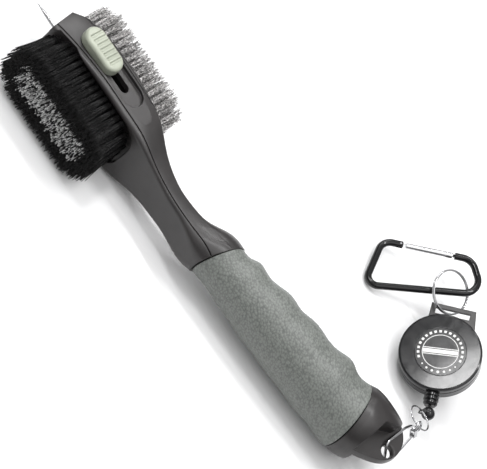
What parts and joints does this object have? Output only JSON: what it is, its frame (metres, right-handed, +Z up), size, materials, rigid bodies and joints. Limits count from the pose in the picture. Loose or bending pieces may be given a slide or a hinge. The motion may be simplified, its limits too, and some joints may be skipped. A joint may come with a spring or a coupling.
{
  "type": "club groove brush",
  "caption": "Two-sided golf club brush with nylon and wire bristles, a sliding groove spike, a rubber grip, and a retractable cord reel on a carabiner.",
  "frame": {"origin": "middle of the flat on the underside of the head, on which the brush rests", "axes": "+X along the handle towards the head's tip, +Y towards the nylon side of the head, +Z up, towards the thumb slider"},
  "size_m": [0.2272, 0.1256, 0.0338],
  "materials": {
    "black_plastic": "satin",
    "nylon_black": "matte",
    "nylon_grey": "satin",
    "bristle_steel": "satin",
    "slider_green": "satin",
    "inner_plastic": "satin",
    "steel": "polished",
    "grip_rubber": "pebbled",
    "chrome_wire": "polished",
    "reel_black": "gloss",
    "badge": "gloss",
    "cord": "woven",
    "carabiner_black": "gloss",
    "gate_silver": "polished"
  },
  "bodies": {
    "brush": {"body_frame": "black_plastic", "front_brush_plate": "black_plastic", "rear_brush_plate": "black_plastic", "nylon_bristles_black": "nylon_black", "nylon_bristles_grey": "nylon_grey", "wire_bristles": "bristle_steel", "grip_sleeve": "grip_rubber", "end_cap": "black_plastic", "detent_spring": "steel"},
    "slider": {"thumb_slider": "slider_green", "slide_carriage": "inner_plastic", "groove_spike": "steel"},
    "hook": {"snap_hook": "chrome_wire", "hook_gate_pin": "chrome_wire"},
    "hook_gate": {"hook_gate": "chrome_wire"},
    "jump_ring": {"jump_ring": "chrome_wire"},
    "cord_end": {"cord_ball": "reel_black", "cord_lead": "cord"},
    "reel": {"reel_back_case": "reel_black", "reel_front_case": "reel_black", "face_badge": "badge", "cord_nozzle": "reel_black", "ring_tab": "black_plastic", "belt_clip": "carabiner_black", "clip_rivet": "steel", "centre_post": "inner_plastic", "mainspring": "steel"},
    "spool": {"spool": "inner_plastic", "cord_winding": "cord"},
    "split_ring": {"split_ring": "chrome_wire"},
    "carabiner": {"carabiner_frame": "carabiner_black", "carabiner_gate_pin": "steel"},
    "carabiner_gate": {"carabiner_gate": "gate_silver"}
  },
  "joints": [
    {"name": "slider_travel", "type": "slide", "parent": "brush", "child": "slider", "axis": [-0.993, 0.1184, 0], "range_m": [0, 0.014]},
    {"name": "hook_swing", "type": "hinge", "parent": "brush", "child": "hook", "pos_m": [-0.1703, 0.006, 0.018], "axis": [0, 0, 1], "range_deg": [-30, 5]},
    {"name": "hook_gate", "type": "hinge", "parent": "hook", "child": "hook_gate", "pos_m": [-0.1747, -0.01354, 0.01397], "axis": [0.7597, -0.0374, -0.6492], "range_deg": [0, 20], "stiffness_Nm_per_rad": 0.002, "springref_deg": -17.19},
    {"name": "jump_ring_swing", "type": "hinge", "parent": "hook", "child": "jump_ring", "pos_m": [-0.17378, -0.01759, 0.01528], "axis": [0.9561, 0.2253, 0.1875], "range_deg": [-15, 15]},
    {"name": "cord_end_swing", "type": "hinge", "parent": "jump_ring", "child": "cord_end", "pos_m": [-0.1717, -0.0274, 0.0115], "axis": [-0.9896, -0.0681, -0.1266], "range_deg": [-12, 12]},
    {"name": "cord_pull", "type": "slide", "parent": "cord_end", "child": "reel", "axis": [0.5052, -0.8543, 0.1219], "range_m": [0, 0.61], "stiffness_N_per_m": 1, "springref_m": -1.2},
    {"name": "spool_spin", "type": "hinge", "parent": "reel", "child": "spool", "pos_m": [-0.1613, -0.0522, 0.0133], "axis": [0.4377, 0.3754, 0.817], "range_deg": [0, 3500]},
    {"name": "split_ring_swing", "type": "hinge", "parent": "reel", "child": "split_ring", "pos_m": [-0.15369, -0.07344, 0.01142], "axis": [-0.5159, -0.8566, -0.004], "range_deg": [-10, 10]},
    {"name": "carabiner_swing", "type": "hinge", "parent": "split_ring", "child": "carabiner", "pos_m": [-0.14647, -0.07829, 0.01433], "axis": [0.7039, 0.6104, -0.3633], "range_deg": [-12, 12]},
    {"name": "carabiner_gate", "type": "hinge", "parent": "carabiner", "child": "carabiner_gate", "pos_m": [-0.11874, -0.08036, 0.00652], "axis": [-0.2796, -0.2321, -0.9316], "range_deg": [0, 25], "stiffness_Nm_per_rad": 0.01, "springref_deg": -20.05}
  ],
  "couplings": [
    {"joint": "spool_spin", "follows": "cord_pull", "rad_per_m": 100}
  ]
}
